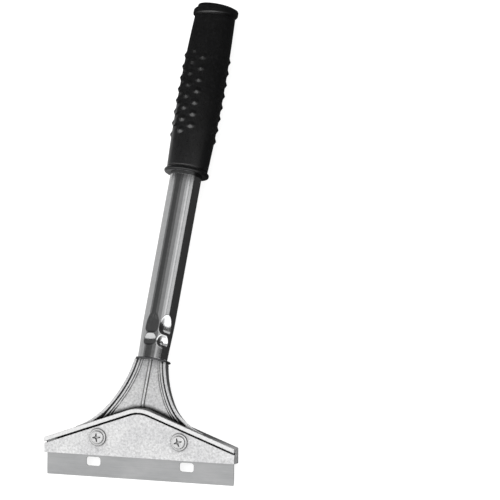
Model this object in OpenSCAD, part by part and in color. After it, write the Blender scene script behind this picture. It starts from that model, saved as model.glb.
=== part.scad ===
// Hand scraper: a cast head clamps a wide blade, and a steel tube carries a rubber grip.
// Millimetres. +Z up, +Y from the blade towards the grip, X along the cutting edge.
// The tool lies on its back, resting on the cutting edge and on the belly of the grip.

/* [Blade] */
// Length of the cutting edge
blade_w = 100; // [96:1:101]
// Height of the blade from cutting edge to back
blade_h = 18; // [16:0.5:18]
// Thickness of the blade
blade_t = 0.6; // [0.4:0.1:0.8]
// Height of the blade that shows below the clamp
blade_out = 11; // [8:0.5:12]
// Distance between the centres of the two blade slots
slot_pitch = 50; // [40:1:60]

/* [Head] */
// Width of the head and of the clamp plate
head_w = 101.8; // [101:0.1:106]
// Thickness of the head's plate
plate_t = 4; // [3.5:0.1:5]
// Angle by which the handle leans back from the plate
bend = 25; // [22:1:28]
// Height of the clamp plate's two ends
clamp_end_h = 4.6; // [4:0.1:6]
// Rise of the clamp plate's sloped edges per unit of width
roof_rise = 0.356; // [0.3:0.01:0.4]
// Radius of the rounded peak of the clamp plate
peak_r = 14; // [10:1:20]
// Thickness of the clamp plate
clamp_t = 2.2; // [1.8:0.1:2.6]
// Gap between the clamp plate and the ridge round it
clamp_gap = 0.8; // [0.4:0.1:0.9]
// Width of the ridge round the clamp plate
ridge_w = 2.1; // [1.8:0.1:3]
// Height of the ridge above the plate
ridge_h = 2.6; // [2:0.1:3]

/* [Screws] */
// Distance between the two clamp screws
screw_pitch = 43.6; // [40:0.1:48]
// Height of the screws above the clamp plate's lower edge
screw_up = 9.3; // [9.2:0.1:11]
// Radius of the M4 screw shank
shank_r = 2; // [1.9:0.05:2]
// Length of the screw shank
shank_len = 8; // [7:0.5:9]

/* [Handle] */
// Distance from the cutting edge to the lower end of the tube
head_reach = 58.8; // [56:0.1:64]
// Length of tube that shows between the head and the grip
tube_show = 100.1; // [60:0.1:160]
// Outer diameter of the tube
tube_d = 16; // [16:0.1:16.4]
// Wall thickness of the tube
tube_wall = 1.2; // [1.1:0.1:1.5]
// Length of the grip
grip_len = 93.5; // [80:0.5:120]
// Largest diameter of the grip, at its belly
grip_belly_d = 23.4; // [23:0.1:26]
// Turn of the crimp marks round the tube, towards +X
crimp_turn = 24; // [0:1:30]

/* [Hidden] */
$fn = 96;

// Blade details
slot_len = 7.6;
slot_h = 4.5;
slot_up = 7.7;
slot_corner = 1.4;
bevel = 1.5;
edge_t = 0.06;

// Screw and washer details
hole_clear = 0.05;
clamp_hole_r = 2.25;
washer_r = 4.2;
washer_t = 0.8;
washer_hole_r = 2.15;
screw_head_r = 3.2;
screw_head_rim = 0.9;
screw_dome = 0.7;
cross_len = 4.2;
cross_w = 0.9;
cross_deep = 1.2;
cross_turn = [5, 18];
boss_r = 4.3;
boss_deep = 6.2;

// Head details
rim_w = 2;
rim_deep = 1.6;
web_t = 4;
web_drop = 2;
web_bend_r = 33;
rib_steps = [[1.5, 1.1], [3.1, 0.65], [4.1, 0.35]];
centre_rib_w = 1.1;
centre_rib_h = 0.4;
stem_r = 6.2;
stem_in = 26;
tang_len = 30;
neck_sink = 3;
column_h = 30;
floor_z = -10;
bend_steps = 8;

// Sides of the neck: an upper arc, then a lower arc that runs out along the ridge
neck_half = 8.3;
neck_lean = 8;
join_lean = 30;
upper_r = 60;

// Tube and grip details
lip_r = 8.9;
lip_t = 0.5;
lip_shift = 0.6;
end_d = 14.9;
end_taper = 22;
crimp_r = 6;
crimp_deep = 1.1;
crimp_rows = [8.1, 15.4];
crimp_side = 27;
tube_in_grip = 86;
flange_r = 11.5;
flange_low_t = 2.2;
flange_top_t = 4.3;
flange_round = 1;
end_boss_r = 9.8;
end_boss_h = 1.2;
grip_end_r = 10.5;
belly_steps = 16;

// Derived places
half_w = head_w / 2;
slope = atan(roof_rise);
roof_v = blade_out + clamp_end_h + half_w * roof_rise;
peak_v = roof_v - peak_r / cos(slope);
screw_v = blade_out + screw_up;
edge_in = (blade_t - edge_t) / 2 * sin(bend);
total_len = head_reach + tube_show + grip_len - edge_in;
edge_y = -total_len / 2 - edge_in;
edge_z = (blade_t + edge_t) / 2 * cos(bend);
tube_y = edge_y + head_reach;
grip_y = tube_y + tube_show;
axis_z = grip_belly_d / 2;
web_z = axis_z + web_drop;
bend_z = web_z - web_bend_r;
bend_y = edge_y + ((bend_z - edge_z) * cos(bend) + web_bend_r) / sin(bend);
ridge_grow = clamp_gap + ridge_w;

// Lower arc of the neck's sides, tangent to the ridge's outer edge seen from above
line_m = roof_rise * cos(bend);
line_y = edge_y + (roof_v + ridge_grow / cos(slope)) * cos(bend);
end_lean = 90 - atan(line_m);
join_x = neck_half + upper_r * (cos(neck_lean) - cos(join_lean));
join_y = tube_y - upper_r * (sin(join_lean) - sin(neck_lean));
lower_r = (join_y - line_y + line_m * join_x)
        / (sin(end_lean) - sin(join_lean) - line_m * (cos(join_lean) - cos(end_lean)));
end_x = join_x + lower_r * (cos(join_lean) - cos(end_lean));

// Places its children on the head's plate: Y runs up the plate and Z stands out of its face.
module on_plate() {
    translate([0, edge_y, edge_z]) rotate([bend, 0, 0]) children();
}

// Turns a revolved or extruded child so that its Z runs along the tube's axis from y.
module along_tube(y) {
    translate([0, y, axis_z]) rotate([-90, 0, 0]) children();
}

// Copies its children to both sides of the head.
module both_sides() {
    children();
    mirror([1, 0, 0]) children();
}

// The pentagon of the clamp plate with its rounded peak, grown outwards by a margin.
module roof(grow) {
    r = peak_r + grow;
    tip_x = r * sin(slope);
    tip_v = peak_v + r * cos(slope);
    end_v = blade_out + clamp_end_h + grow / cos(slope);
    polygon([[-half_w, blade_out], [half_w, blade_out], [half_w, end_v],
             [tip_x, tip_v], [-tip_x, tip_v], [-half_w, end_v]]);
    intersection() {
        translate([0, peak_v]) circle(r);
        translate([-tip_x, tip_v - 1]) square([2 * tip_x, r]);
    }
}

// Column of space beside the neck, made larger by a margin: a wide arc above, a tighter one below.
module beside_neck(grow) {
    upper_c = [neck_half + upper_r * cos(neck_lean), tube_y + upper_r * sin(neck_lean)];
    lower_c = [join_x + lower_r * cos(join_lean), join_y + lower_r * sin(join_lean)];
    reach = upper_r + grow + 5;
    translate(upper_c) intersection() {
        cylinder(r = upper_r + grow, h = 3 * column_h, center = true, $fn = 240);
        linear_extrude(3 * column_h, center = true) polygon([[0, 0], [-reach, 10], [-reach, -reach * tan(join_lean)]]);
    }
    translate(lower_c) cylinder(r = lower_r + grow, h = 3 * column_h, center = true, $fn = 240);
}

// Column whose plan is the neck seen from above, with its sides drawn in by a margin.
module neck_column(grow) {
    foot_y = line_y - line_m * end_x;
    difference() {
        linear_extrude(column_h) polygon([
            [0, line_y - neck_sink], [end_x, foot_y - neck_sink], [end_x, foot_y],
            [join_x + 6, join_y], [neck_half + 3, tube_y], [-neck_half - 3, tube_y],
            [-join_x - 6, join_y], [-end_x, foot_y], [-end_x, foot_y - neck_sink]]);
        both_sides() beside_neck(grow);
    }
}

// All that lies under the bent front of the neck, at a height over that front.
module under_front(height) {
    r = web_bend_r + height;
    curve = [for (i = [0:bend_steps]) let (a = 90 + bend * (1 - i / bend_steps))
             [bend_y + r * cos(a), bend_z + r * sin(a)]];
    foot = [edge_y + 10, curve[0][1] - (curve[0][0] - edge_y - 10) * tan(bend)];
    end = tube_y + 2;
    rotate([90, 0, 90]) linear_extrude(head_w + 20, center = true)
        polygon(concat([[foot[0], floor_z], foot], curve,
                       [[end, bend_z + r], [end, floor_z]]));
}

// Layer that follows the bent front of the neck, between two heights over it.
module layer(low, high) {
    difference() {
        under_front(high);
        under_front(low);
    }
}

// Ribs along the sides of the neck in three steps, and a thin one down its middle.
module ribs() {
    for (step = rib_steps) intersection() {
        layer(-1, step[1]);
        difference() {
            neck_column(0);
            neck_column(step[0]);
        }
    }
    intersection() {
        layer(-1, centre_rib_h);
        translate([-centre_rib_w / 2, line_y - neck_sink, 0])
            cube([centre_rib_w, tube_y - line_y + neck_sink, column_h]);
    }
}

// Round stem behind the web, flush with its front, that carries the tang into the tube.
module stem() {
    intersection() {
        along_tube(edge_y + stem_in) cylinder(r = stem_r, h = head_reach - stem_in + 2);
        under_front(-0.2);
    }
    along_tube(tube_y) cylinder(r = end_d / 2 - tube_wall, h = tang_len);
}

// Plate with its back hollowed inside a rim, bosses for the screws and the ridge in front.
module plate() {
    difference() {
        translate([0, 0, -plate_t]) linear_extrude(plate_t) roof(ridge_grow);
        translate([0, 0, -plate_t - 1]) linear_extrude(rim_deep + 1) difference() {
            translate([0, rim_w]) intersection() {
                roof(ridge_grow - 2 * rim_w);
                square([head_w - 2 * rim_w, 200], center = true);
            }
            both_sides() translate([screw_pitch / 2, screw_v]) circle(boss_r);
        }
        translate([-half_w - 1, 0, -blade_t]) cube([head_w + 2, blade_h, blade_t + 1]);
    }
    both_sides() translate([screw_pitch / 2, screw_v, -boss_deep])
        cylinder(r = boss_r, h = boss_deep - 1);
    linear_extrude(ridge_h) difference() {
        roof(ridge_grow);
        roof(clamp_gap);
    }
}

module head_casting() {
    color([0.80, 0.80, 0.80]) difference() {
        union() {
            on_plate() plate();
            intersection() {
                layer(-web_t, 0);
                neck_column(0);
            }
            ribs();
            stem();
        }
        on_plate() {
            both_sides() translate([screw_pitch / 2, screw_v, -boss_deep - 1])
                cylinder(r = shank_r + hole_clear, h = boss_deep + 2);
            linear_extrude(ridge_h + 10) roof(clamp_gap);
        }
    }
}

module clamp_plate() {
    color([0.86, 0.86, 0.86]) on_plate() difference() {
        linear_extrude(clamp_t) roof(0);
        both_sides() translate([screw_pitch / 2, screw_v, -1])
            cylinder(r = clamp_hole_r, h = clamp_t + 2);
    }
}

module slot() {
    run = slot_len / 2 - slot_corner;
    rise = slot_h / 2 - slot_corner;
    translate([0, 0, -blade_t - 1]) linear_extrude(blade_t + 2) {
        square([slot_len, 2 * rise], center = true);
        square([2 * run, slot_h], center = true);
        for (x = [-run, run], v = [-rise, rise]) translate([x, v]) circle(slot_corner);
    }
}

module blade() {
    color([0.66, 0.67, 0.68]) on_plate() difference() {
        rotate([90, 0, 90]) linear_extrude(blade_w, center = true)
            polygon([[0, -(blade_t + edge_t) / 2], [bevel, -blade_t], [blade_h, -blade_t],
                     [blade_h, 0], [bevel, 0], [0, -(blade_t - edge_t) / 2]]);
        both_sides() translate([slot_pitch / 2, slot_up]) slot();
    }
}

module washer(side) {
    color([0.75, 0.75, 0.76]) on_plate()
        translate([side * screw_pitch / 2, screw_v, clamp_t]) difference() {
            cylinder(r = washer_r, h = washer_t);
            translate([0, 0, -1]) cylinder(r = washer_hole_r, h = washer_t + 2);
        }
}

module screw(side) {
    dome_r = (screw_head_r * screw_head_r + screw_dome * screw_dome) / (2 * screw_dome);
    head_top = screw_head_rim + screw_dome;
    color([0.70, 0.70, 0.71]) on_plate()
        translate([side * screw_pitch / 2, screw_v, clamp_t + washer_t]) difference() {
            union() {
                translate([0, 0, -shank_len]) cylinder(r = shank_r, h = shank_len + 0.5);
                cylinder(r = screw_head_r, h = screw_head_rim);
                intersection() {
                    translate([0, 0, head_top - dome_r]) sphere(dome_r);
                    cylinder(r = screw_head_r, h = head_top);
                }
            }
            for (turn = [0, 90]) rotate(turn + cross_turn[(side + 1) / 2]) translate([0, 0, head_top])
                cube([cross_len, cross_w, 2 * cross_deep], center = true);
        }
}

// Round bar that tapers down to the tube's lower end, thinner by a wall all round.
module tapered(wall, over) {
    d = tube_d - 2 * wall;
    cylinder(d1 = end_d - 2 * wall, d2 = d, h = end_taper);
    translate([0, 0, end_taper - 0.01]) cylinder(d = d, h = tube_show + tube_in_grip - end_taper + over);
    if (over > 0) translate([0, 0, -over]) cylinder(d = end_d - 2 * wall, h = over + 0.01);
}

// Steel tube, drawn in at its lower end, with a thin lip and crimp marks front and back.
module tube() {
    color([0.62, 0.63, 0.65]) along_tube(tube_y) difference() {
        union() {
            tapered(0, 0);
            rotate(crimp_turn) translate([lip_shift, 0, 0]) cylinder(r = lip_r, h = lip_t);
        }
        tapered(tube_wall, 1);
        for (row = crimp_rows, face = [0, 180], side = [-1, 1])
            rotate(face - 90 + crimp_turn + side * crimp_side)
                translate([tube_d / 2 - crimp_deep + crimp_r, 0, row]) sphere(crimp_r);
    }
}

// Rubber grip: a long belly between two flanges, closed at its end by a low boss.
module grip() {
    belly_r = grip_belly_d / 2;
    belly_len = grip_len - flange_low_t - flange_top_t - end_boss_h;
    drop = belly_r - grip_end_r;
    curve_r = (belly_len * belly_len / 4 + drop * drop) / (2 * drop);
    module flange(from, thick) {
        translate([0, from]) square([flange_r - flange_round, thick]);
        translate([0, from + flange_round]) square([flange_r, thick - 2 * flange_round]);
        for (y = [from + flange_round, from + thick - flange_round])
            translate([flange_r - flange_round, y]) circle(flange_round);
    }
    color([0.10, 0.10, 0.10]) along_tube(grip_y) difference() {
        union() {
            rotate_extrude() flange(0, flange_low_t);
            rotate_extrude() polygon(concat([[0, flange_low_t - 0.5]], [for (i = [0:belly_steps])
                let (up = (i / belly_steps - 0.5) * belly_len)
                [belly_r - curve_r + sqrt(curve_r * curve_r - up * up),
                 flange_low_t + belly_len / 2 + up]],
                [[0, flange_low_t + belly_len + 0.5]]));
            rotate_extrude() flange(flange_low_t + belly_len, flange_top_t);
            cylinder(r = end_boss_r, h = grip_len);
        }
        translate([0, 0, -1]) cylinder(d = tube_d, h = tube_in_grip + 1);
    }
}

head_casting();
clamp_plate();
blade();
screw(-1);  // screw_left
screw(1);  // screw_right
washer(-1);  // washer_left
washer(1);  // washer_right
tube();
grip();
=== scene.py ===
"""Looks of the hand scraper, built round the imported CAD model.

Metres, in the row frame: +Z up, +Y from the blade towards the grip, X along the cutting edge.
Shapes are worked out in millimetres and scaled at the end of each piece.
"""

import math

import bmesh
import bpy
import numpy as np
from mathutils import Matrix, Vector, noise


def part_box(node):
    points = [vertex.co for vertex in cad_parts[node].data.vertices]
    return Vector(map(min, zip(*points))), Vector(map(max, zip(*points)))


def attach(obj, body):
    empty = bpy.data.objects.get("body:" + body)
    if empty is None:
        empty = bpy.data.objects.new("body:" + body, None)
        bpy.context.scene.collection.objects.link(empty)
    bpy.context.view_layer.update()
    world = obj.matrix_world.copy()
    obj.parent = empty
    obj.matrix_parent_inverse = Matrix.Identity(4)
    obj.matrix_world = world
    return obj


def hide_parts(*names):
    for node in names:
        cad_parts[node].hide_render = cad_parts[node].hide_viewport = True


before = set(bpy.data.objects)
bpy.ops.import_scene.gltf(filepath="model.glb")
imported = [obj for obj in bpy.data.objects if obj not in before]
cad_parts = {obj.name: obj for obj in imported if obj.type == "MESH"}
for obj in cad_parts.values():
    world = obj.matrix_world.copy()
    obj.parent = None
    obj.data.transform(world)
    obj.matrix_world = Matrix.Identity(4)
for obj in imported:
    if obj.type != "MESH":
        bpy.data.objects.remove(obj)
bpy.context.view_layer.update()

MM = 0.001

# Camera: the photograph's viewing angle, from far away with a long lens
CAMERA_SPOT = (0.72777, -0.64101, 1.72575)
CAMERA_TURN = (22.402, 18.274, 9.973)
CAMERA_LENS = 280.8

# Plate of the head: it leans by this angle about X
BEND = math.radians(25)
BLADE_T = 0.6
EDGE_T = 0.06
BEVEL = 1.5
CLAMP_T = 2.2


# ---------------------------------------------------------------- places from the CAD

blade_low = Vector(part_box("blade")[0]) / MM
tube_low, tube_high = (Vector(c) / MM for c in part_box("tube"))
grip_low, grip_high = (Vector(c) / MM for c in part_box("grip"))

EDGE_Y = blade_low.y - (BLADE_T - EDGE_T) / 2 * math.sin(BEND)
EDGE_Z = blade_low.z + (BLADE_T + EDGE_T) / 2 * math.cos(BEND)
AXIS_Z = (grip_low.z + grip_high.z) / 2
TUBE_Y = tube_low.y
GRIP_Y = grip_low.y
GRIP_LEN = grip_high.y - grip_low.y
TUBE_LEN = tube_high.y - tube_low.y

# Takes a point (x, up the plate, out of the plate) in mm to the row frame in mm
PLATE = Matrix.Translation((0, EDGE_Y, EDGE_Z)) @ Matrix.Rotation(BEND, 4, "X")


# ---------------------------------------------------------------- mesh helpers

def mesh_piece(name, verts, faces, smooth=True):
    """Object from vertices in mm and faces, with all faces turned outwards."""
    mesh = bpy.data.meshes.new(name)
    mesh.from_pydata([tuple(v) for v in np.asarray(verts) * MM], [], faces)
    bm = bmesh.new()
    bm.from_mesh(mesh)
    bmesh.ops.recalc_face_normals(bm, faces=bm.faces)
    bm.to_mesh(mesh)
    bm.free()
    if smooth:
        mesh.shade_smooth()
    piece = bpy.data.objects.new(name, mesh)
    bpy.context.scene.collection.objects.link(piece)
    return piece


def ring_faces(rows, columns, first=0):
    """Quads between neighbouring closed rings of vertices."""
    faces = []
    for r in range(rows - 1):
        for c in range(columns):
            d = (c + 1) % columns
            faces.append((first + r * columns + c, first + r * columns + d,
                          first + (r + 1) * columns + d, first + (r + 1) * columns + c))
    return faces


def fillet(points, steps=6):
    """Polyline from (a, b, radius) corners, each rounded by its radius."""
    out = []
    for i, (a, b, radius) in enumerate(points):
        corner = np.array((a, b), float)
        if radius == 0 or i in (0, len(points) - 1):
            out.append(corner)
            continue
        before = np.array(points[i - 1][:2], float) - corner
        after = np.array(points[i + 1][:2], float) - corner
        before /= np.linalg.norm(before)
        after /= np.linalg.norm(after)
        half = math.acos(np.clip(before @ after, -1, 1)) / 2
        run = radius / math.tan(half)
        middle = before + after
        middle /= np.linalg.norm(middle)
        centre = corner + middle * radius / math.sin(half)
        start, end = corner + before * run, corner + after * run
        for k in range(steps + 1):
            p = start + (end - start) * k / steps
            way = p - centre
            out.append(centre + way / np.linalg.norm(way) * radius)
    return np.array(out)


def resample(path, step):
    """Points along a path, with no gap longer than step."""
    out = [path[0]]
    for a, b in zip(path[:-1], path[1:]):
        count = max(1, int(math.ceil(np.linalg.norm(b - a) / step)))
        out += [a + (b - a) * k / count for k in range(1, count + 1)]
    return np.array(out)


def lathe_mesh(profile, columns, place, warp=None):
    """Vertices and faces of a closed profile of (radius, height) turned round an axis.

    The profile starts and ends on the axis, or closes on itself. place takes arrays of angle,
    radius and height to points. warp changes the radius by angle and height.
    """
    angles = np.arange(columns) * 2 * math.pi / columns
    on_axis = profile[0][0] < 1e-6
    body = profile[1:-1] if on_axis else profile
    radius = np.repeat(body[:, 0][:, None], columns, 1)
    height = np.repeat(body[:, 1][:, None], columns, 1)
    turn = np.repeat(angles[None, :], len(body), 0)
    if warp:
        radius, height = warp(turn, radius, height)
    verts = place(turn, radius, height).reshape(-1, 3)
    faces = ring_faces(len(body), columns)
    last = (len(body) - 1) * columns
    if on_axis:
        ends = [place(np.zeros(1), np.zeros(1), np.array([h])) for h in (profile[0][1], profile[-1][1])]
        verts = np.vstack([verts] + [e.reshape(1, 3) for e in ends])
        low, high = len(verts) - 2, len(verts) - 1
        for c in range(columns):
            d = (c + 1) % columns
            faces.append((low, d, c))
            faces.append((high, last + c, last + d))
    else:
        for c in range(columns):
            d = (c + 1) % columns
            faces.append((last + c, last + d, d, c))
    return verts, faces


def round_tube(turn, radius, height):
    """Place for a lathe along the tube's axis: angle 0 is up, positive towards +X."""
    return np.stack([radius * np.sin(turn), height, AXIS_Z + radius * np.cos(turn)], -1)


def on_plate(x, v, n):
    """Place for a lathe that stands on the head's plate at (x, v), n out of the plate."""
    def place(turn, radius, height):
        local = np.stack([x + radius * np.cos(turn), v + radius * np.sin(turn), n + height,
                          np.ones_like(turn)], -1)
        return (local @ np.array(PLATE.transposed()))[..., :3]
    return place


def grain(points, size, seed):
    """Noise of the given grain size in mm, about -1 to 1, one value for each point."""
    shift = Vector((seed, 2 * seed, 3 * seed))
    return np.array([noise.noise(Vector(p) / size + shift) for p in points])


# Sand-blasted skin of a casting: height, grain size and seed of each layer of noise
SKIN_LAYERS = ((0.030, 0.75, 0.0), (0.022, 0.42, 5.0), (0.03, 6.0, 9.0))
ROUND_OFF_FACTOR = 0.5
ROUND_OFF_STEPS = 2


def cast(node, name, voxel, triangles_kept, shape=None):
    """New piece with the form of a CAD casting: rounded edges and a sand-blasted skin."""
    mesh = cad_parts[node].data.copy()
    mesh.transform(Matrix.Scale(1 / MM, 4))
    mesh.materials.clear()
    work = bpy.data.objects.new(name + "_work", mesh)
    bpy.context.scene.collection.objects.link(work)
    skin = work.modifiers.new("skin", "REMESH")
    skin.mode = "VOXEL"
    skin.voxel_size = voxel
    round_off = work.modifiers.new("round_off", "SMOOTH")
    round_off.factor = ROUND_OFF_FACTOR
    round_off.iterations = ROUND_OFF_STEPS
    mesh = evaluated(work)
    co, normal = vertex_arrays(mesh)
    if shape is not None:
        co = shape(co, normal)
        mesh.vertices.foreach_set("co", co.astype(np.float32).ravel())
        mesh.update()
        co, normal = vertex_arrays(mesh)
    relief = sum(deep * grain(co, size, seed) for deep, size, seed in SKIN_LAYERS)
    co = co + normal * relief[:, None]
    mesh.vertices.foreach_set("co", co.astype(np.float32).ravel())
    mesh.update()
    bpy.data.objects.remove(work)
    work = bpy.data.objects.new(name + "_work", mesh)
    bpy.context.scene.collection.objects.link(work)
    thin = work.modifiers.new("thin", "DECIMATE")
    triangles = sum(len(p.vertices) - 2 for p in mesh.polygons)
    thin.ratio = min(1.0, triangles_kept / triangles)
    mesh = evaluated(work)
    bpy.data.objects.remove(work)
    mesh.transform(Matrix.Scale(MM, 4))
    mesh.shade_smooth()
    mesh.name = name
    piece = bpy.data.objects.new(name, mesh)
    bpy.context.scene.collection.objects.link(piece)
    return piece


def evaluated(piece):
    """A new mesh with the piece's modifiers applied."""
    bpy.context.view_layer.update()
    graph = bpy.context.evaluated_depsgraph_get()
    return bpy.data.meshes.new_from_object(piece.evaluated_get(graph), depsgraph=graph)


def vertex_arrays(mesh):
    """Vertex places and normals of a mesh as arrays."""
    co = np.zeros(len(mesh.vertices) * 3, np.float32)
    normal = np.zeros(len(mesh.vertices) * 3, np.float32)
    mesh.vertices.foreach_get("co", co)
    mesh.vertex_normals.foreach_get("vector", normal)
    return co.reshape(-1, 3).astype(float), normal.reshape(-1, 3).astype(float)


# ---------------------------------------------------------------- material helpers

class Nodes:
    """Short hand for building one material's nodes."""

    def __init__(self, name):
        self.material = bpy.data.materials.new(name)
        self.material.use_nodes = True
        self.tree = self.material.node_tree
        self.shader = self.tree.nodes["Principled BSDF"]
        self.where = self.tree.nodes.new("ShaderNodeTexCoord").outputs["Object"]

    def link(self, a, b):
        self.tree.links.new(a, b)

    def stretched(self, scale):
        """Object coordinates in mm, scaled along each axis."""
        node = self.tree.nodes.new("ShaderNodeMapping")
        node.inputs["Scale"].default_value = [s / MM for s in scale]
        self.link(self.where, node.inputs["Vector"])
        return node.outputs["Vector"]

    def noise(self, scale, detail=3.0, rough=0.55, spread=(1, 1, 1)):
        """Noise with this many grains per mm, stretched by spread."""
        node = self.tree.nodes.new("ShaderNodeTexNoise")
        node.inputs["Scale"].default_value = scale
        node.inputs["Detail"].default_value = detail
        node.inputs["Roughness"].default_value = rough
        self.link(self.stretched(spread), node.inputs["Vector"])
        return node.outputs["Fac"]

    def along_y(self, start, end):
        """Share that goes from 0 to 1 between two places along Y, in mm."""
        split = self.tree.nodes.new("ShaderNodeSeparateXYZ")
        self.link(self.where, split.inputs[0])
        node = self.tree.nodes.new("ShaderNodeMapRange")
        node.inputs["From Min"].default_value = start * MM
        node.inputs["From Max"].default_value = end * MM
        self.link(split.outputs["Y"], node.inputs["Value"])
        return node.outputs["Result"]

    def cells(self, scale):
        """Distance to the nearest of scattered points, with this many per mm."""
        node = self.tree.nodes.new("ShaderNodeTexVoronoi")
        node.inputs["Scale"].default_value = scale
        self.link(self.stretched((1, 1, 1)), node.inputs["Vector"])
        return node.outputs["Distance"]

    def ramp(self, value, stops):
        """Colours along a value: stops are (place, colour or grey)."""
        node = self.tree.nodes.new("ShaderNodeValToRGB")
        while len(node.color_ramp.elements) < len(stops):
            node.color_ramp.elements.new(0.5)
        for element, (place, colour) in zip(node.color_ramp.elements, stops):
            element.position = place
            shade = colour if isinstance(colour, tuple) else (colour,) * 3
            element.color = (*shade, 1)
        self.link(value, node.inputs["Fac"])
        return node.outputs["Color"]

    def mix(self, share, a, b, blend="MIX"):
        """Colour between a and b by share, which is a number or a socket."""
        node = self.tree.nodes.new("ShaderNodeMix")
        node.data_type = "RGBA"
        node.blend_type = blend
        for socket, value in ((node.inputs[0], share), (node.inputs[6], a), (node.inputs[7], b)):
            if isinstance(value, (int, float)):
                socket.default_value = value
            elif isinstance(value, tuple):
                socket.default_value = (*value, 1)
            else:
                self.link(value, socket)
        return node.outputs[2]

    def bump(self, height, distance, strength=1.0, under=None):
        """Bump of a height socket over a distance in mm, on top of another bump."""
        node = self.tree.nodes.new("ShaderNodeBump")
        node.inputs["Strength"].default_value = strength
        node.inputs["Distance"].default_value = distance * MM
        self.link(height, node.inputs["Height"])
        if under is not None:
            self.link(under, node.inputs["Normal"])
        return node.outputs["Normal"]

    def openness(self, reach):
        """How open the surroundings are within a reach in mm: 1 on a free face, near 0 in a crack."""
        node = self.tree.nodes.new("ShaderNodeAmbientOcclusion")
        node.samples = 8
        node.inputs["Distance"].default_value = reach * MM
        return node.outputs["AO"]

    def upward(self):
        """How much a face lies flat, up or down: 1 on top and underneath, 0 on a wall."""
        split = self.tree.nodes.new("ShaderNodeSeparateXYZ")
        self.link(self.tree.nodes.new("ShaderNodeNewGeometry").outputs["Normal"], split.inputs[0])
        node = self.tree.nodes.new("ShaderNodeMath")
        node.operation = "ABSOLUTE"
        self.link(split.outputs["Z"], node.inputs[0])
        return node.outputs[0]

    def pointed(self):
        """Geometry pointiness: about 0.5 on flats, more on edges and less in corners."""
        return self.tree.nodes.new("ShaderNodeNewGeometry").outputs["Pointiness"]

    def finish(self, colour, roughness, normal, **fixed):
        self.link(colour, self.shader.inputs["Base Color"])
        self.link(roughness, self.shader.inputs["Roughness"])
        if normal is not None:
            self.link(normal, self.shader.inputs["Normal"])
        for socket, value in fixed.items():
            self.shader.inputs[socket.replace("_", " ")].default_value = value
        return self.material


# Where the head's plate ends and the neck's side walls, darkened with painted shade, begin
PLATE_END_Y = -109.0
# The neck's last stretch below the tube, over which the painted corner shade fades out
UNSHADED_RUN = (-8, -3)


def cast_aluminium(name, bright):
    """Sand-blasted die casting: mottled light grey, worn bright at the edges, with painted shade in
    creases, cracks, corners and on the side walls.
    """
    n = Nodes(name)
    mottle = n.noise(0.9, 4.0, 0.65)
    patches = n.noise(0.08, 3.0)
    base = n.ramp(mottle, [(0.30, 0.56 * bright), (0.5, 0.74 * bright), (0.70, 0.92 * bright)])
    stain = n.ramp(patches, [(0.35, (0.88, 0.88, 0.89)), (0.62, (1.0, 1.0, 1.0))])
    wear = n.ramp(n.pointed(), [(0.51, 0.0), (0.57, 0.6)])
    worn = n.mix(wear, n.mix(1.0, base, stain, "MULTIPLY"), (0.95, 0.95, 0.955))
    # painted shade: darker where the surface is hollow, in creases and inner corners, by the geometry's
    # pointiness
    painted_crease_shade = n.ramp(n.pointed(), [(0.42, 0.10), (0.475, 0.62), (0.495, 1.0)])
    # painted shade: darker in narrow cracks (within 1.4 mm) and in corners (within 5 mm), by how open the
    # surroundings are
    crack = n.ramp(n.openness(1.4), [(0.25, 0.02), (0.50, 0.22), (0.75, 0.80), (0.93, 1.0)])
    corner = n.ramp(n.openness(5.0), [(0.30, 0.04), (0.58, 0.28), (0.83, 0.86), (0.96, 1.0)])
    # the painted corner shade fades out over the neck's last stretch below the tube
    corner = n.mix(n.along_y(*(TUBE_Y + run for run in UNSHADED_RUN)), corner, (1.0, 1.0, 1.0))
    upward = n.upward()
    # painted shade: walls darker than flat faces, mildly on the plate and strongly on the neck
    painted_wall_shade = n.mix(n.along_y(PLATE_END_Y, PLATE_END_Y + 4), n.ramp(upward, [(0.0, 0.95), (0.60, 1.0)]),
                  n.ramp(upward, [(0.0, 0.24), (0.50, 0.30), (0.78, 1.0)]))
    # all the painted shade of walls, cracks and corners, multiplied into the colour
    shade = n.mix(1.0, painted_wall_shade, n.mix(1.0, crack, corner, "MULTIPLY"), "MULTIPLY")
    colour = n.mix(1.0, n.mix(1.0, worn, painted_crease_shade, "MULTIPLY"), shade, "MULTIPLY")
    roughness = n.ramp(n.noise(1.6, 3.0), [(0.3, 0.42), (0.7, 0.60)])
    coarse = n.bump(n.noise(1.3, 3.0, 0.6), 0.10, 0.55)
    fine = n.bump(n.cells(3.2), 0.05, 0.45, coarse)
    return n.finish(colour, roughness, fine, Metallic=0.6)


def worn_aluminium():
    """Aluminium rubbed bright, on the top of the ridge."""
    n = Nodes("worn_aluminium")
    base = n.ramp(n.noise(1.1, 4.0, 0.65), [(0.30, 0.74), (0.70, 0.95)])
    roughness = n.ramp(n.noise(1.6, 3.0), [(0.3, 0.34), (0.7, 0.50)])
    return n.finish(base, roughness, n.bump(n.noise(1.3, 3.0, 0.6), 0.06, 0.4), Metallic=1.0)


def blade_steel():
    """Rolled spring steel: satin grey with fine lengthwise lines and faint stains."""
    n = Nodes("blade_steel")
    lines = n.noise(1.0, 4.0, 0.6, (0.05, 4.0, 4.0))
    stain = n.noise(0.09, 4.0, 0.6, (0.6, 1.4, 1.4))
    base = n.ramp(stain, [(0.30, (0.37, 0.375, 0.38)), (0.52, (0.42, 0.425, 0.43)),
                          (0.72, (0.48, 0.48, 0.485))])
    colour = n.mix(0.18, base, n.ramp(lines, [(0.35, 0.30), (0.65, 0.62)]))
    roughness = n.ramp(lines, [(0.3, 0.30), (0.7, 0.42)])
    return n.finish(colour, roughness, n.bump(lines, 0.02, 0.35), Metallic=1.0)


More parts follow.
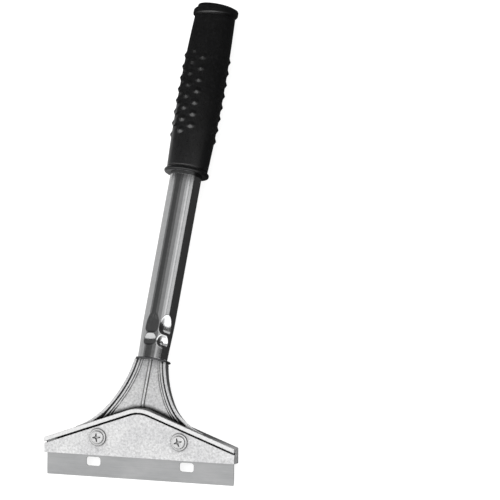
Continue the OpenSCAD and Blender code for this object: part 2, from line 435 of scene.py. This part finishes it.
def screw_steel():
    """Zinc-plated screw steel with small scratches, and painted shade in the cross recess and other
    hollows.
    """
    n = Nodes("screw_steel")
    spots = n.noise(1.4, 4.0, 0.6)
    base = n.ramp(spots, [(0.3, 0.62), (0.7, 0.84)])
    # painted shade: darker in hollows by pointiness and in cracks by how open the surroundings are, as in
    # the cross recess
    dark = n.ramp(n.pointed(), [(0.40, 0.12), (0.49, 1.0)])
    crack = n.ramp(n.openness(1.2), [(0.25, 0.03), (0.55, 0.30), (0.85, 1.0)])
    colour = n.mix(1.0, n.mix(1.0, base, dark, "MULTIPLY"), crack, "MULTIPLY")
    roughness = n.ramp(n.noise(3.0, 3.0), [(0.3, 0.26), (0.7, 0.42)])
    return n.finish(colour, roughness, n.bump(n.noise(5.0, 3.0), 0.02, 0.3), Metallic=1.0)


def tube_chrome():
    """Chromium plate over drawn tube: mirror-like with long faint draw lines and specks."""
    n = Nodes("tube_chrome")
    draw = n.noise(1.0, 4.0, 0.6, (2.2, 0.02, 2.2))
    wave = n.noise(0.22, 2.0, 0.5, (1.0, 0.10, 1.0))
    haze = n.noise(0.35, 4.0, 0.65)
    colour = n.ramp(haze, [(0.3, (0.60, 0.605, 0.61)), (0.7, (0.68, 0.68, 0.685))])
    roughness = n.ramp(draw, [(0.3, 0.07), (0.7, 0.15)])
    normal = n.bump(draw, 0.008, 0.2, n.bump(wave, 0.03, 0.3))
    return n.finish(colour, roughness, normal, Metallic=1.0)


def bare_steel():
    """Darkened steel of the tube's cut end, where the plating is thin."""
    n = Nodes("bare_steel")
    base = n.ramp(n.noise(1.8, 4.0, 0.6), [(0.3, (0.07, 0.07, 0.075)), (0.7, (0.16, 0.16, 0.165))])
    roughness = n.ramp(n.noise(2.5, 3.0), [(0.3, 0.35), (0.7, 0.55)])
    return n.finish(base, roughness, n.bump(n.noise(3.0, 3.0), 0.03, 0.3), Metallic=0.9)


def grip_rubber():
    """Moulded black rubber: satin, with a trace of dust in patches."""
    n = Nodes("grip_rubber")
    haze = n.noise(0.12, 4.0, 0.6)
    speck = n.noise(2.2, 3.0)
    base = n.ramp(haze, [(0.3, (0.003, 0.003, 0.0033)), (0.7, (0.006, 0.006, 0.0063))])
    dust = n.ramp(n.noise(0.7, 5.0, 0.65), [(0.50, 0.0), (0.80, 0.6)])
    colour = n.mix(dust, base, (0.020, 0.020, 0.021))
    roughness = n.ramp(speck, [(0.3, 0.26), (0.7, 0.38)])
    normal = n.bump(n.noise(4.5, 3.0), 0.03, 0.35, n.bump(n.noise(0.5, 3.0), 0.10, 0.25))
    return n.finish(colour, roughness, normal, Metallic=0.0, Specular_IOR_Level=0.42)


def floor_paper():
    """Plain pale studio paper with a very faint grain."""
    n = Nodes("floor_paper")
    colour = n.ramp(n.noise(0.02, 3.0), [(0.3, 0.34), (0.7, 0.36)])
    roughness = n.ramp(n.noise(0.5, 2.0), [(0.3, 0.85), (0.7, 0.95)])
    n.shader.inputs["Emission Color"].default_value = (1, 1, 1, 1)
    n.shader.inputs["Emission Strength"].default_value = 0.84
    return n.finish(colour, roughness, n.bump(n.noise(1.5, 2.0), 0.05, 0.1), Metallic=0.0)


def glow(name, level, one_sided=False):
    """Even light of a studio card, which may be clear from behind."""
    material = bpy.data.materials.new(name)
    material.use_nodes = True
    tree = material.node_tree
    tree.nodes.clear()
    out = tree.nodes.new("ShaderNodeOutputMaterial")
    light = tree.nodes.new("ShaderNodeEmission")
    light.inputs["Color"].default_value = (1, 1, 1, 1)
    light.inputs["Strength"].default_value = level
    if not one_sided:
        tree.links.new(light.outputs[0], out.inputs["Surface"])
        return material
    side = tree.nodes.new("ShaderNodeNewGeometry")
    clear = tree.nodes.new("ShaderNodeBsdfTransparent")
    choice = tree.nodes.new("ShaderNodeMixShader")
    tree.links.new(side.outputs["Backfacing"], choice.inputs[0])
    tree.links.new(light.outputs[0], choice.inputs[1])
    tree.links.new(clear.outputs[0], choice.inputs[2])
    tree.links.new(choice.outputs[0], out.inputs["Surface"])
    return material


def repaint(piece, material, chosen):
    """Gives another material to the faces that chosen picks by their middles, in mm, and normals."""
    polygons = piece.data.polygons
    middle = np.zeros(len(polygons) * 3, np.float32)
    normal = np.zeros(len(polygons) * 3, np.float32)
    polygons.foreach_get("center", middle)
    polygons.foreach_get("normal", normal)
    piece.data.materials.append(material)
    picked = chosen(middle.reshape(-1, 3) / MM, normal.reshape(-1, 3))
    polygons.foreach_set("material_index", picked.astype(np.int32))
    piece.data.update()


def dress(piece, material, body, slot, *nodes):
    """Gives a finished piece its material and its body, and hides the CAD nodes that it stands for."""
    piece.data.materials.clear()
    piece.data.materials.append(material)
    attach(piece, body)
    if nodes:
        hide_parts(*nodes)


# ---------------------------------------------------------------- head

HEAD_HALF = 50.9
ROOF_RISE = 0.356
ROOF_V = 15.6 + HEAD_HALF * ROOF_RISE
PEAK_R = 14.0
RIDGE_OUT = 2.9
RIDGE_TOP_FROM = 2.0
NECK_HALF = 8.3
NECK_LEAN = math.radians(8)
JOIN_LEAN = math.radians(30)
UPPER_R = 60.0
# Channels beside the ribs: distance in from the outline, depth and half width
RIB_LINES = ((1.67, 0.62, 0.42), (3.22, 0.40, 0.32), (4.22, 0.28, 0.28))
# Channel on each side of the middle rib: distance from the middle, depth and half width
CENTRE_LINE_X = 0.715
CENTRE_LINE_DEEP = 0.34
CENTRE_LINE_HALF = 0.30
# Hollow of the web behind the ridge
TROUGH_DEEP = 1.2
TROUGH_REACH = 3.0
# The web's front faces this way
WEB_WAY = (0, -0.2, 0.98)


def arc_circles():
    """Centre and radius, in plan, of the two arcs that bound the neck on its +X side."""
    line_m = ROOF_RISE * math.cos(BEND)
    slope = math.atan(ROOF_RISE)
    line_y = EDGE_Y + (ROOF_V + RIDGE_OUT / math.cos(slope)) * math.cos(BEND)
    join_x = NECK_HALF + UPPER_R * (math.cos(NECK_LEAN) - math.cos(JOIN_LEAN))
    join_y = TUBE_Y - UPPER_R * (math.sin(JOIN_LEAN) - math.sin(NECK_LEAN))
    end_lean = math.pi / 2 - math.atan(line_m)
    rise = math.sin(end_lean) - math.sin(JOIN_LEAN)
    run = math.cos(JOIN_LEAN) - math.cos(end_lean)
    lower_r = (join_y - line_y + line_m * join_x) / (rise - line_m * run)
    upper = (NECK_HALF + UPPER_R * math.cos(NECK_LEAN), TUBE_Y + UPPER_R * math.sin(NECK_LEAN), UPPER_R)
    lower = (join_x + lower_r * math.cos(JOIN_LEAN), join_y + lower_r * math.sin(JOIN_LEAN), lower_r)
    return upper, lower


def to_plate(points):
    """Points in mm as (x, up the plate, out of the plate)."""
    return (np.c_[points, np.ones(len(points))] @ np.array(PLATE.inverted().transposed()))[:, :3]


def channel(distance, deep, half):
    """Depth of a rounded channel, or height of a rounded ridge, at a distance from its middle."""
    return deep * np.clip(1 - (distance / half) ** 2, 0, 1)


def head_lines(co, normal):
    """Sharpens the casting: fine channels beside the ribs and a trough behind the ridge."""
    x, y = np.abs(co[:, 0]), co[:, 1]
    inside = np.full(len(co), 1e9)
    for cx, cy, radius in arc_circles():
        inside = np.minimum(inside, np.hypot(x - cx, y - cy) - radius)
    local = to_plate(co)
    slope = math.atan(ROOF_RISE)
    behind = (local[:, 1] - ROOF_V + ROOF_RISE * x) * math.cos(slope) - RIDGE_OUT
    peak_v = ROOF_V - PEAK_R / math.cos(slope)
    round_part = x < (PEAK_R + RIDGE_OUT) * math.sin(slope)
    behind = np.where(round_part, np.hypot(x, local[:, 1] - peak_v) - PEAK_R - RIDGE_OUT, behind)
    front = np.clip((normal @ np.array(WEB_WAY) - 0.25) / 0.3, 0, 1)
    web = front * (behind > 0.1) * (y < TUBE_Y + 0.5)
    sink = np.zeros(len(co))
    for at, deep, half in RIB_LINES:
        sink = np.maximum(sink, channel(inside - at, deep, half))
    sink = np.maximum(sink, channel(x - CENTRE_LINE_X, CENTRE_LINE_DEEP, CENTRE_LINE_HALF))
    trough = TROUGH_DEEP * np.clip(1 - behind / TROUGH_REACH, 0, 1) ** 2
    down = (sink * (inside > 0.9) + trough * np.clip(inside / 1.5, 0, 1)) * web
    moved = co.copy()
    moved[:, 2] -= down
    return moved


def build_head():
    return cast("head_casting", "head_body", 0.26, 190000, head_lines)


def build_clamp():
    return cast("clamp_plate", "clamp_cover", 0.24, 120000)


# ---------------------------------------------------------------- screws and washers

SCREW_X = 21.8
SCREW_V = 20.3
WASHER_R = 4.2
WASHER_T = 0.8
WASHER_HOLE_R = 2.15
HEAD_R = 3.2
HEAD_RIM = 0.9
HEAD_DOME = 0.7
SHANK_R = 2.0
SHANK_LEN = 8.0
THREAD_STEP = 0.35
CROSS_HALF = 2.2
CROSS_HALF_W = 0.48
CROSS_DEEP = 1.2


def build_washer(side, name):
    profile = resample(fillet([
        (WASHER_HOLE_R, WASHER_T / 2, 0), (WASHER_HOLE_R, 0, 0.12), (WASHER_R, 0, 0.1),
        (WASHER_R, WASHER_T, 0.25), (WASHER_HOLE_R, WASHER_T, 0.15),
        (WASHER_HOLE_R, WASHER_T / 2 + 0.01, 0)]), 0.3)
    verts, faces = lathe_mesh(profile, 96, on_plate(side * SCREW_X, SCREW_V, CLAMP_T))
    return mesh_piece(name, verts, faces)


def cross_depth(x, y):
    """Depth of the Phillips recess at a point of the head, 0 outside it."""
    def arm(along, across):
        taper = np.clip((CROSS_HALF - np.abs(along)) / (CROSS_HALF - 0.5), 0, 1)
        wide = CROSS_HALF_W * (0.55 + 0.45 * taper)
        side = np.clip((wide - np.abs(across)) / 0.16, 0, 1)
        end = np.clip((CROSS_HALF - np.abs(along)) / 0.22, 0, 1)
        return CROSS_DEEP * side * end * (0.45 + 0.55 * taper)
    centre = CROSS_DEEP * np.clip((0.95 - np.hypot(x, y)) / 0.35, 0, 1)
    return np.maximum(np.maximum(arm(x, y), arm(y, x)), centre)


def build_screw(side, name, turn_of_cross):
    dome_r = (HEAD_R ** 2 + HEAD_DOME ** 2) / (2 * HEAD_DOME)
    top = HEAD_RIM + HEAD_DOME
    dome = [(r, top - dome_r + math.sqrt(dome_r ** 2 - r * r)) for r in np.arange(0, HEAD_R - 0.12, 0.07)]
    thread = []
    for k in range(int((SHANK_LEN - 0.8) / THREAD_STEP)):
        z = -0.6 - THREAD_STEP * k
        thread += [(SHANK_R - 0.02, z, 0), (SHANK_R - 0.02, z - 0.08, 0), (SHANK_R - 0.18, z - 0.20, 0)]
    outline = [(SHANK_R - 0.02, -0.4, 0), (SHANK_R - 0.02, 0.0, 0), (HEAD_R, 0.0, 0.15),
               (HEAD_R, HEAD_RIM - 0.05, 0.2)]
    lower = [(0, -SHANK_LEN, 0), (SHANK_R - 0.45, -SHANK_LEN, 0)] + thread[::-1] + outline
    lower = fillet(lower)
    profile = np.vstack([lower, np.array(dome[::-1])])
    turn0 = math.radians(turn_of_cross)

    def warp(turn, radius, height):
        x = radius * np.cos(turn - turn0)
        y = radius * np.sin(turn - turn0)
        deep = np.where(height > HEAD_RIM, cross_depth(x, y), 0)
        return radius, height - deep

    profile[-1] = (0, top - CROSS_DEEP)
    verts, faces = lathe_mesh(profile, 160, on_plate(side * SCREW_X, SCREW_V, CLAMP_T + WASHER_T), warp)
    return mesh_piece(name, verts, faces)


# ---------------------------------------------------------------- blade

BLADE_W = 100.0
BLADE_H = 18.0
SLOT_X = 25.0
SLOT_V = 7.7
SLOT_LEN = 7.6
SLOT_H = 4.5
SLOT_CORNER = 1.4
BLADE_CORNER = 0.25
BLADE_ROUND = 0.05


def rounded_rectangle(cx, cy, half_a, half_b, radius, steps=8):
    """Corner-rounded rectangle as a list of points, counter-clockwise."""
    out = []
    for sx, sy, start in ((1, -1, -90), (1, 1, 0), (-1, 1, 90), (-1, -1, 180)):
        for k in range(steps + 1):
            a = math.radians(start + 90 * k / steps)
            out.append((cx + sx * (half_a - radius) + radius * math.cos(a),
                        cy + sy * (half_b - radius) + radius * math.sin(a)))
    return out


def build_blade():
    curve = bpy.data.curves.new("blade_outline", "CURVE")
    curve.dimensions = "2D"
    curve.fill_mode = "BOTH"
    loops = [rounded_rectangle(0, BLADE_H / 2, BLADE_W / 2, BLADE_H / 2, BLADE_CORNER, 3)]
    loops += [rounded_rectangle(s * SLOT_X, SLOT_V, SLOT_LEN / 2, SLOT_H / 2, SLOT_CORNER) for s in (-1, 1)]
    for points in loops:
        spline = curve.splines.new("POLY")
        spline.points.add(len(points) - 1)
        for point, (x, v) in zip(spline.points, points):
            point.co = (x, v, 0, 1)
        spline.use_cyclic_u = True
    curve.extrude = BLADE_T / 2 - BLADE_ROUND
    curve.bevel_depth = BLADE_ROUND
    curve.bevel_resolution = 1
    curve.offset = -BLADE_ROUND
    work = bpy.data.objects.new("blade_work", curve)
    bpy.context.scene.collection.objects.link(work)
    mesh = evaluated(work)
    bpy.data.objects.remove(work)
    bm = bmesh.new()
    bm.from_mesh(mesh)
    bmesh.ops.remove_doubles(bm, verts=bm.verts, dist=0.002)
    for v in (BEVEL, BEVEL * 0.5, 9.5, 14.5):
        bmesh.ops.bisect_plane(bm, geom=bm.verts[:] + bm.edges[:] + bm.faces[:], dist=1e-5,
                               plane_co=(0, v, 0), plane_no=(0, 1, 0))
    for vert in bm.verts:
        share = min(1.0, max(0.0, vert.co.y) / BEVEL)
        vert.co.z *= EDGE_T / BLADE_T + (1 - EDGE_T / BLADE_T) * share
        vert.co.z -= BLADE_T / 2
    bmesh.ops.recalc_face_normals(bm, faces=bm.faces)
    bm.to_mesh(mesh)
    bm.free()
    mesh.transform(Matrix.Scale(MM, 4) @ PLATE)
    mesh.name = "blade_sheet"
    piece = bpy.data.objects.new("blade_sheet", mesh)
    bpy.context.scene.collection.objects.link(piece)
    return piece


# ---------------------------------------------------------------- tube

TUBE_R = 8.0
TUBE_WALL = 1.2
END_R = 7.45
END_TAPER = 22.0
LIP_R = 8.9
LIP_SHIFT = 0.6
LIP_WAVE = 0.10
LIP_T = 0.5
# How far the lip stands out before it is shifted off centre
LIP_OUT = 1.2
# The tube's end is cut at a slant, which fades out over a run
END_LEAN = 0.20
END_LEAN_RUN = 6.0
# Rows of vertices lie close over the first stretch and far apart beyond it
FINE_RUN = 27.0
FINE_STEP = 0.27
COARSE_STEP = 2.0
CRIMP_TURN = math.radians(24)
CRIMP_SIDE = math.radians(27)
# Depth of the punch marks on the -X and on the +X side
CRIMP_DEEP = (0.75, 1.25)
# Each row of punch marks: height of the deepest point, half width, reach down and reach up
CRIMP_ROWS = ((8.1, 3.7, 2.6, 4.4), (14.9, 3.9, 2.9, 8.2))


def dent(arc, run, half_arc, down, up):
    """Scooped hollow, steep at its lower end and long at its upper end: 1 at its deepest and 0 outside."""
    reach = np.where(run < 0, down, up)
    bowl = np.clip(1 - (arc / half_arc) ** 2 - (run / reach) ** 2, 0, 1)
    return 1.12 * bowl * bowl / (bowl + 0.12)


def crimp(turn, height):
    """How far the tube's wall is pressed in at an angle and height, by its taper and the punch marks."""
    y = height - TUBE_Y
    taper = np.clip(1 - y / END_TAPER, 0, 1)
    deep = (TUBE_R - END_R) * taper * taper * (3 - 2 * taper)
    marks = np.zeros_like(turn)
    for face in (0, math.pi):
        for side, deepest in zip((-1, 1), CRIMP_DEEP):
            middle = face + CRIMP_TURN + side * CRIMP_SIDE
            arc = TUBE_R * ((turn - middle + math.pi) % (2 * math.pi) - math.pi)
            for row, half_arc, down, up in CRIMP_ROWS:
                marks = np.maximum(marks, deepest * dent(arc, y - row, half_arc, down, up))
    return deep + marks


def build_tube():
    start, end = TUBE_Y, TUBE_Y + TUBE_LEN
    inner = TUBE_R - TUBE_WALL
    fine = np.arange(start + LIP_T + 0.35, start + FINE_RUN, FINE_STEP)
    coarse = np.arange(start + FINE_RUN, end - 0.5, COARSE_STEP)
    lip_r = TUBE_R + LIP_OUT
    outer = fillet([(inner + 0.3, start, 0), (lip_r, start, 0.2), (lip_r, start + LIP_T, 0.2),
                    (TUBE_R, start + LIP_T, 0.3), (TUBE_R, start + LIP_T + 1, 0)], 4)[:-1]
    outer = np.vstack([outer, [(TUBE_R, y) for y in fine], [(TUBE_R, y) for y in coarse]])
    tail = fillet([(TUBE_R, end - 0.5, 0), (TUBE_R, end, 0.2), (inner, end, 0.2), (inner, end - 0.5, 0)], 3)
    inside = np.array([(inner, y) for y in np.concatenate([coarse[::-1], fine[::-1]])])
    profile = np.vstack([outer, tail, inside, [(inner, start + 0.3)]])

    def warp(turn, radius, height):
        pressed = radius - crimp(turn, height) * np.clip(radius - inner + 0.2, 0, 1)
        past = np.clip((radius - TUBE_R) / LIP_OUT, 0, 1)
        lean = turn - CRIMP_TURN - math.pi / 2
        lip = LIP_R + LIP_SHIFT * np.cos(lean) + LIP_WAVE * np.sin(5 * turn + 1.0)
        pressed = np.where(past > 0, pressed + past * (lip - lip_r + TUBE_R - END_R), pressed)
        share = np.clip(1 - (height - TUBE_Y) / END_LEAN_RUN, 0, 1) ** 2
        return pressed, height - END_LEAN * share * radius * np.cos(turn - CRIMP_TURN)

    verts, faces = lathe_mesh(profile, 216, round_tube, warp)
    return mesh_piece("tube_plated", verts, faces)


def lip_faces(middle, normal):
    """Faces of the flared lip and of the cut end."""
    radius = np.hypot(middle[:, 0], middle[:, 2] - AXIS_Z)
    return (middle[:, 1] < TUBE_Y + 3) & ((radius > END_R + 0.25) | (normal[:, 1] < -0.7))


# ---------------------------------------------------------------- grip

GRIP_BELLY_R = 11.45
GRIP_END_R = 10.4
FLANGE_R = 11.5
FLANGE_LOW_T = 2.2
FLANGE_TOP_T = 4.3
END_BOSS_R = 9.8
END_BOSS_H = 1.2
BORE_DEEP = 86.0
BUMP_H = 0.88
BUMP_POWER = 1.15
BUMP_HALF_ARC = 2.5
BUMP_HALF_RUN = 1.95
BUMP_PITCH = 6.3
# First bump's place and the number of bumps, in every other column and in the columns between
BUMP_RUNS = ((23.3, 7), (20.6, 8))
PARTING = math.radians(48)
BUMP_COLUMNS = [math.radians(a) for a in (38, 65, 92, 119, 146)]
PARTING_H = 0.05
PARTING_HALF = 0.25
# The parting line fades in from here over a run
PARTING_FROM = 52.0
PARTING_FADE = 12.0
# Slants of the flanges: the upper one towards an angle, and both towards the crimp's side
FLANGE_LEAN = 0.10
FLANGE_LEAN_TO = math.radians(112)
NEAR_LEAN = 0.12
NEAR_LEAN_TOP = 0.17
ROW_STEP = 0.27


def belly_radius(u):
    """Radius of the grip's body at a distance from its lower end."""
    length = GRIP_LEN - FLANGE_LOW_T - FLANGE_TOP_T - END_BOSS_H
    drop = GRIP_BELLY_R - GRIP_END_R
    bow = (length ** 2 / 4 + drop ** 2) / (2 * drop)
    up = np.clip(u - FLANGE_LOW_T - length / 2, -length / 2, length / 2)
    return GRIP_BELLY_R - bow + np.sqrt(bow ** 2 - up ** 2)


def grip_relief(turn, radius, height):
    """Raised bumps on both sides, the thin parting line between them and the slant of the flanges."""
    u = height - GRIP_Y
    outside = (radius > TUBE_R + 1.5) | (u > BORE_DEEP + 1)
    body = outside & (u > FLANGE_LOW_T + 1.5) & (u < GRIP_LEN - FLANGE_TOP_T - END_BOSS_H - 1.5)
    raised = np.zeros_like(turn)
    around = (turn - PARTING + math.pi) % (2 * math.pi) - math.pi
    mirrored = np.abs(around)
    for k, column in enumerate(BUMP_COLUMNS):
        arc = GRIP_BELLY_R * (mirrored - column)
        first, count = BUMP_RUNS[k % 2]
        for i in range(count):
            run = u - first - i * BUMP_PITCH
            d = np.hypot(arc / BUMP_HALF_ARC, run / BUMP_HALF_RUN)
            raised = np.maximum(raised, BUMP_H * (1 - np.clip(d, 0, 1)) ** BUMP_POWER)
    near = np.minimum(np.abs(around), np.abs(np.abs(around) - math.pi)) * GRIP_BELLY_R
    line = channel(near, PARTING_H, PARTING_HALF) * np.clip((u - PARTING_FROM) / PARTING_FADE, 0, 1)
    top = GRIP_LEN - FLANGE_TOP_T - END_BOSS_H
    share = np.interp(u, (top - 9, top, top + FLANGE_TOP_T, GRIP_LEN), (0, 1, 1, 0))
    lean = FLANGE_LEAN * share * radius * np.cos(turn - FLANGE_LEAN_TO)
    share = np.interp(u, (0, FLANGE_LOW_T + 0.8, FLANGE_LOW_T + 8, top - 14, top, GRIP_LEN),
                      (NEAR_LEAN, NEAR_LEAN, 0, 0, NEAR_LEAN_TOP, NEAR_LEAN_TOP))
    lean -= share * radius * np.cos(turn - CRIMP_TURN)
    return np.where(body, radius + raised + line, radius), height + outside * lean


def build_grip():
    top_flange = GRIP_LEN - END_BOSS_H - FLANGE_TOP_T
    low_end = belly_radius(np.array([FLANGE_LOW_T + 0.9]))[0]
    high_end = belly_radius(np.array([top_flange - 0.9]))[0]
    lower = fillet([(TUBE_R, 0.9, 0), (TUBE_R, 0, 0.3), (FLANGE_R, 0, 1.0), (FLANGE_R, FLANGE_LOW_T, 1.0),
                    (low_end - 0.35, FLANGE_LOW_T, 0.35), (low_end - 0.35, FLANGE_LOW_T + 0.75, 0.2),
                    (low_end, FLANGE_LOW_T + 1.0, 0)], 7)
    rows = np.arange(FLANGE_LOW_T + 1.3, top_flange - 1.1, ROW_STEP)
    body = np.stack([belly_radius(rows), rows], -1)
    upper = fillet([(high_end, top_flange - 0.9, 0), (high_end - 0.25, top_flange - 0.7, 0.2),
                    (high_end - 0.25, top_flange, 0.3), (FLANGE_R, top_flange, 1.3),
                    (FLANGE_R, top_flange + FLANGE_TOP_T, 1.6),
                    (END_BOSS_R, top_flange + FLANGE_TOP_T, 0.3), (END_BOSS_R, GRIP_LEN, 0.6),
                    (5.0, GRIP_LEN, 0), (0, GRIP_LEN, 0)], 7)
    bore = [(0, BORE_DEEP), (TUBE_R - 0.5, BORE_DEEP), (TUBE_R, BORE_DEEP - 0.5)]
    bore += [(TUBE_R, u) for u in np.arange(BORE_DEEP - 5, 2, -5)]
    profile = np.vstack([bore, lower, body, upper])
    profile[:, 1] += GRIP_Y
    verts, faces = lathe_mesh(profile, 220, round_tube, grip_relief)
    return mesh_piece("grip_sleeve", verts, faces)


def ridge_top(middle, normal):
    """Faces on top of the head's ridge."""
    facing = normal @ np.array(PLATE.to_3x3().col[2])
    return (to_plate(middle)[:, 2] > RIDGE_TOP_FROM) & (facing > 0.5)


# ---------------------------------------------------------------- studio

def card(name, corners, level, one_sided=False):
    """Light or dark studio card that only reflections see; a one-sided card shines towards +Y."""
    piece = mesh_piece(name, np.array(corners) / MM, [tuple(range(len(corners)))], smooth=False)
    if one_sided and piece.data.polygons[0].normal.y < 0:
        piece.data.flip_normals()
    piece.data.materials.append(glow(name, level, one_sided))
    piece.visible_camera = False
    piece.visible_diffuse = False
    piece.visible_shadow = False
    piece.visible_transmission = False
    piece.visible_volume_scatter = False
    return piece


# Light of the surroundings above and below the horizon, with a soft step between them
WORLD_ABOVE = 1.0
WORLD_BELOW = 0.10
HORIZON_HALF = 0.10
FLOOR_HALF = 3.0
FLOOR_CUTS = 24
KEY_SPOT = (-0.70, -0.15, 0.95)
KEY_TARGET = (0, -0.05, 0)
KEY_SIZE = 0.5
KEY_POWER = 3.0
# Tunnel over the tube: radius, where it starts and ends, and its dark part over the grip
TENT_R = 0.15
TENT_Y = (-0.037, 0.079)
# The panels up to this angle start lower down
TENT_LEFT_TO = 4
TENT_LEFT_Y = -0.05
TENT_BACK_Y = 0.34
TENT_BACK = 0.04
TENT_FLOOR_Z = 0.0006
TENT_FLOOR_X = 0.004
TENT_FLOOR_MORE = 0.03
TENT_SPLIT_Y = -0.0135
# Panels round the tube's axis: angle from +Z towards +X at each end, brightness below the split
# and brightness above it
TENT_PANELS = [
    (-94.2, -60, 0.50, 0.60),
    (-60, -46, 0.20, 0.22),
    (-46, -14, 0.085, 0.085),
    (-14, 4, 0.10, 0.16),
    (4, 30, 0.18, 0.33),
    (30, 46, 0.60, 0.62),
    (46, 58, 0.26, 0.95),
    (58, 62, 0.20, 0.40),
    (62, 84, 0.12, 0.75),
    (84, 94.2, 0.03, 0.03),
]
TENT_FLOOR_LEFT = 0.60
TENT_FLOOR_RIGHT = 0.045
# Bright card beside the head, which the punch marks in the tube pick up
SIDE_CARD_ANGLES = (26, 84)
SIDE_CARD_Y = -0.12
SIDE_CARD = 1.7
# Bright upright card over the tube, which the lower sides of the grip's bumps pick up
FRONT_CARD_X = (-0.16, 0.06)
FRONT_CARD_Y = 0.026
FRONT_CARD_Z = (0.035, 0.155)
FRONT_CARD = 4.5


def build_tent():
    """Tunnel of panels over the tube, which gives the plating its long stripes, and the cards near it."""
    centre_z = AXIS_Z * MM

    def strip(name, start, end, level, near, far):
        (x0, z0), (x1, z1) = start, end
        card(name, [(x0, near, z0), (x1, near, z1), (x1, far, z1), (x0, far, z0)], level)

    def spot(angle):
        turn = math.radians(angle)
        return TENT_R * math.sin(turn), max(centre_z + TENT_R * math.cos(turn), TENT_FLOOR_Z)

    near, far = TENT_Y
    for i, (start, end, low_level, level) in enumerate(TENT_PANELS):
        first = near if end > TENT_LEFT_TO else TENT_LEFT_Y
        strip(f"tent_low_{i}", spot(start), spot(end), low_level, first, TENT_SPLIT_Y)
        strip(f"tent_{i}", spot(start), spot(end), level, TENT_SPLIT_Y, far)
        strip(f"tent_back_{i}", spot(start), spot(end), TENT_BACK, far, TENT_BACK_Y)
    for word, side, level in (("left", -1, TENT_FLOOR_LEFT), ("right", 1, TENT_FLOOR_RIGHT)):
        inner, outer = (side * TENT_FLOOR_X, TENT_FLOOR_Z), (side * TENT_R, TENT_FLOOR_Z)
        strip(f"tent_floor_{word}", inner, outer, level, near - TENT_FLOOR_MORE, far)
        strip(f"tent_back_floor_{word}", inner, outer, TENT_BACK, far, TENT_BACK_Y)
    end = [(TENT_R * math.sin(a), TENT_BACK_Y, max(centre_z + TENT_R * math.cos(a), TENT_FLOOR_Z))
           for a in np.radians(np.arange(-90, 91, 15))]
    card("tent_end", end, TENT_BACK)
    low, high = SIDE_CARD_ANGLES
    strip("side_card", spot(low), spot(high), SIDE_CARD, SIDE_CARD_Y, near)
    (x0, x1), y, (z0, z1) = FRONT_CARD_X, FRONT_CARD_Y, FRONT_CARD_Z
    card("front_card", [(x0, y, z0), (x1, y, z0), (x1, y, z1), (x0, y, z1)], FRONT_CARD, one_sided=True)


def area_light(name, spot, size, power, target):
    """Round lamp aimed at a target, which reflections do not see."""
    light = bpy.data.lights.new(name, "AREA")
    light.shape = "DISK"
    light.size = size
    light.energy = power
    lamp = bpy.data.objects.new(name, light)
    lamp.location = spot
    lamp.rotation_euler = (Vector(target) - Vector(spot)).to_track_quat("-Z", "Y").to_euler()
    lamp.visible_glossy = False
    bpy.context.scene.collection.objects.link(lamp)
    return lamp


def build_floor():
    row = FLOOR_CUTS + 1
    steps = np.linspace(-FLOOR_HALF, FLOOR_HALF, row)
    verts = [(x / MM, y / MM, 0) for y in steps for x in steps]
    faces = []
    for r in range(FLOOR_CUTS):
        for c in range(FLOOR_CUTS):
            first = r * row + c
            faces.append((first, first + 1, first + row + 1, first + row))
    floor = mesh_piece("floor", verts, faces, smooth=False)
    floor.data.materials.append(floor_paper())
    floor.visible_diffuse = False
    floor.visible_glossy = False


def build_world():
    """Even surroundings, bright above the horizon and dark below it."""
    world = bpy.data.worlds.new("studio")
    bpy.context.scene.world = world
    world.use_nodes = True
    tree = world.node_tree
    back = tree.nodes["Background"]
    back.inputs["Color"].default_value = (1.0, 1.0, 1.0, 1)
    split = tree.nodes.new("ShaderNodeSeparateXYZ")
    height = tree.nodes.new("ShaderNodeMapRange")
    height.inputs["From Min"].default_value = -HORIZON_HALF
    height.inputs["From Max"].default_value = HORIZON_HALF
    height.inputs["To Min"].default_value = WORLD_BELOW
    height.inputs["To Max"].default_value = WORLD_ABOVE
    tree.links.new(tree.nodes.new("ShaderNodeTexCoord").outputs["Generated"], split.inputs[0])
    tree.links.new(split.outputs["Z"], height.inputs["Value"])
    tree.links.new(height.outputs["Result"], back.inputs["Strength"])


def build_camera():
    data = bpy.data.cameras.new("camera")
    data.lens = CAMERA_LENS
    data.clip_start, data.clip_end = 0.05, 50
    camera = bpy.data.objects.new("camera", data)
    camera.location = CAMERA_SPOT
    camera.rotation_euler = [math.radians(a) for a in CAMERA_TURN]
    bpy.context.scene.collection.objects.link(camera)
    bpy.context.scene.camera = camera


def build_studio():
    build_floor()
    build_world()
    area_light("key", KEY_SPOT, KEY_SIZE, KEY_POWER, KEY_TARGET)
    build_tent()
    build_camera()
    bpy.context.scene.view_settings.view_transform = "Standard"


# ---------------------------------------------------------------- the object

build_studio()
steel = screw_steel()
head = build_head()
dress(head, cast_aluminium("head_aluminium", 0.98), "head", "cast_aluminium", "head_casting")
repaint(head, worn_aluminium(), ridge_top)
dress(build_clamp(), cast_aluminium("clamp_aluminium", 1.02), "clamp", "cast_aluminium", "clamp_plate")
dress(build_blade(), blade_steel(), "blade", "blade_steel", "blade")
for side, word, cross_turn in ((-1, "left", 5), (1, "right", 18)):
    dress(build_washer(side, f"washer_ring_{word}"), steel, "clamp", "screw_steel", f"washer_{word}")
    dress(build_screw(side, f"screw_pan_{word}", cross_turn), steel, f"screw_{word}", "screw_steel",
          f"screw_{word}")
tube = build_tube()
dress(tube, tube_chrome(), "head", "tube_chrome", "tube")
repaint(tube, bare_steel(), lip_faces)
dress(build_grip(), grip_rubber(), "head", "grip_rubber", "grip")
